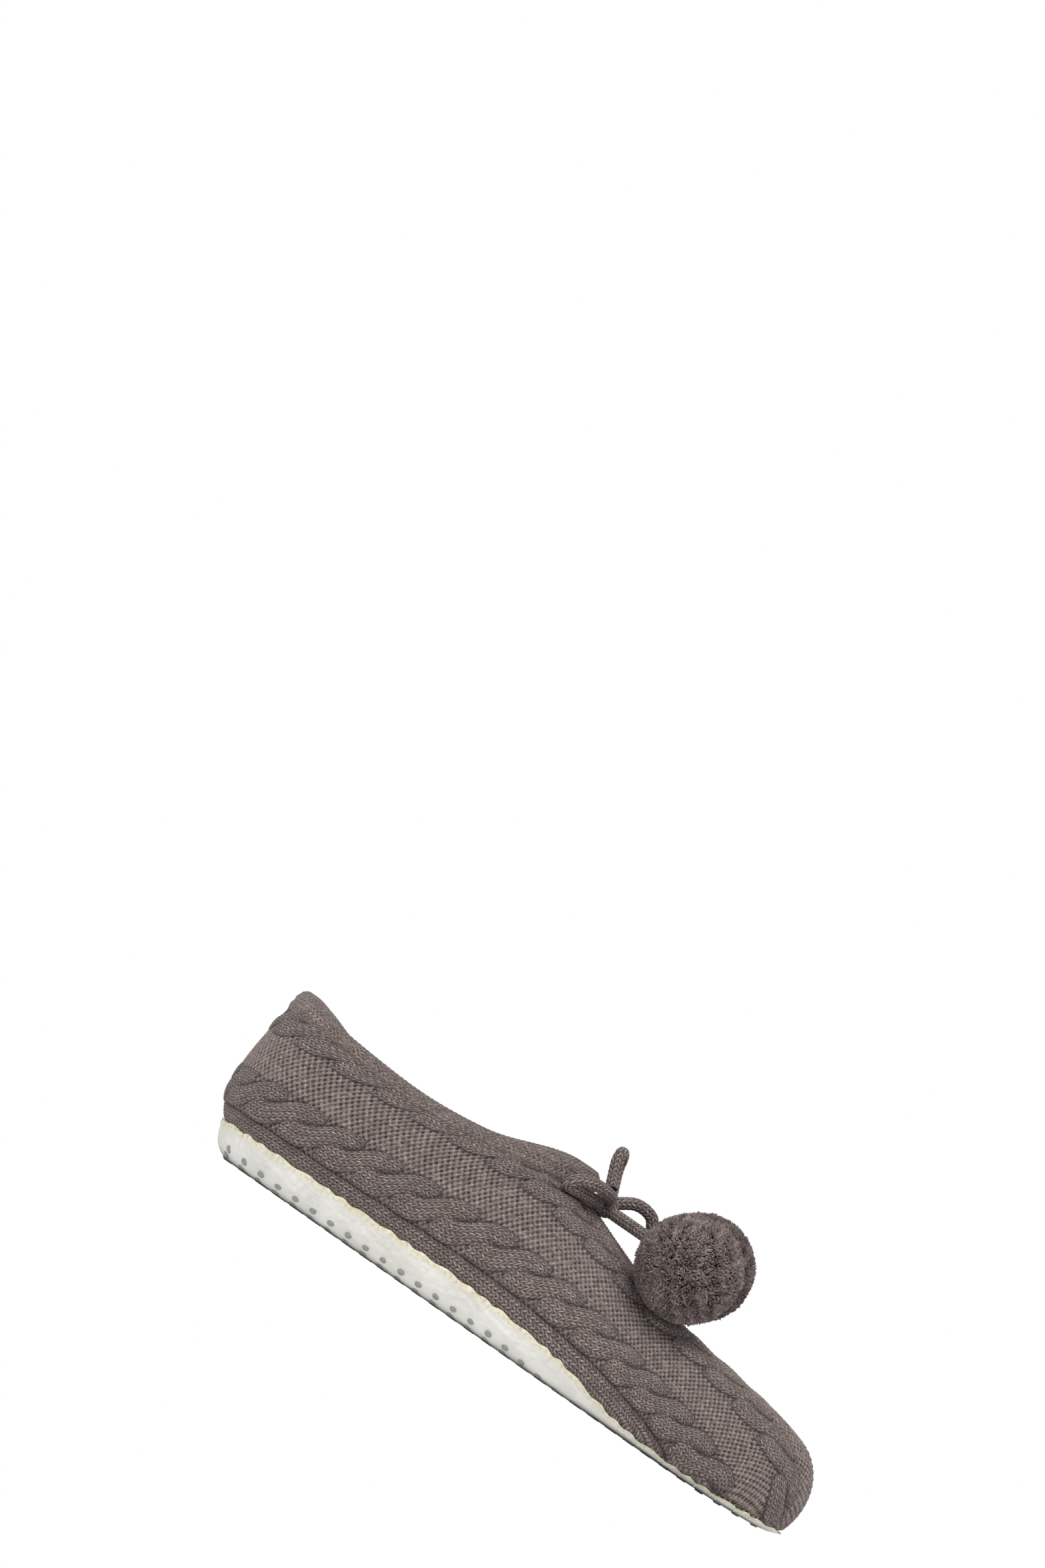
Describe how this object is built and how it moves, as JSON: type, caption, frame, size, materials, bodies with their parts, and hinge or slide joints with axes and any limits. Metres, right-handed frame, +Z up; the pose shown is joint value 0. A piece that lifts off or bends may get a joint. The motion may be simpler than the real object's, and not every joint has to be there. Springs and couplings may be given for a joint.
{
  "type": "slipper sock",
  "caption": "Low cable-knit slipper sock with a soft padded sole, a hemmed collar, and a drawstring bow with pompoms at the throat.",
  "frame": {"origin": "on the floor, under the middle of the shoe's bounding box, bow left out", "axes": "+X from the heel to the toe, +Y to the wearer's left, which is the big toe's side of this right slipper, +Z up"},
  "size_m": [0.2536, 0.0951, 0.086],
  "materials": {
    "grey_knit": "chunky cable knit",
    "grey_cord": "knitted cord",
    "grey_pompom": "cut yarn",
    "ivory_sole": "soft padded cloth",
    "ivory_fleece": "fleece"
  },
  "bodies": {
    "root": {"upper": "grey_knit", "collar_band": "grey_knit", "sole": "ivory_sole", "insole": "ivory_fleece", "bow_knot": "grey_cord", "loop_outer": "grey_cord", "loop_inner": "grey_cord", "tail_outer": "grey_cord", "tail_inner": "grey_cord", "pompom_outer": "grey_pompom", "pompom_inner": "grey_pompom"}
  },
  "joints": []
}
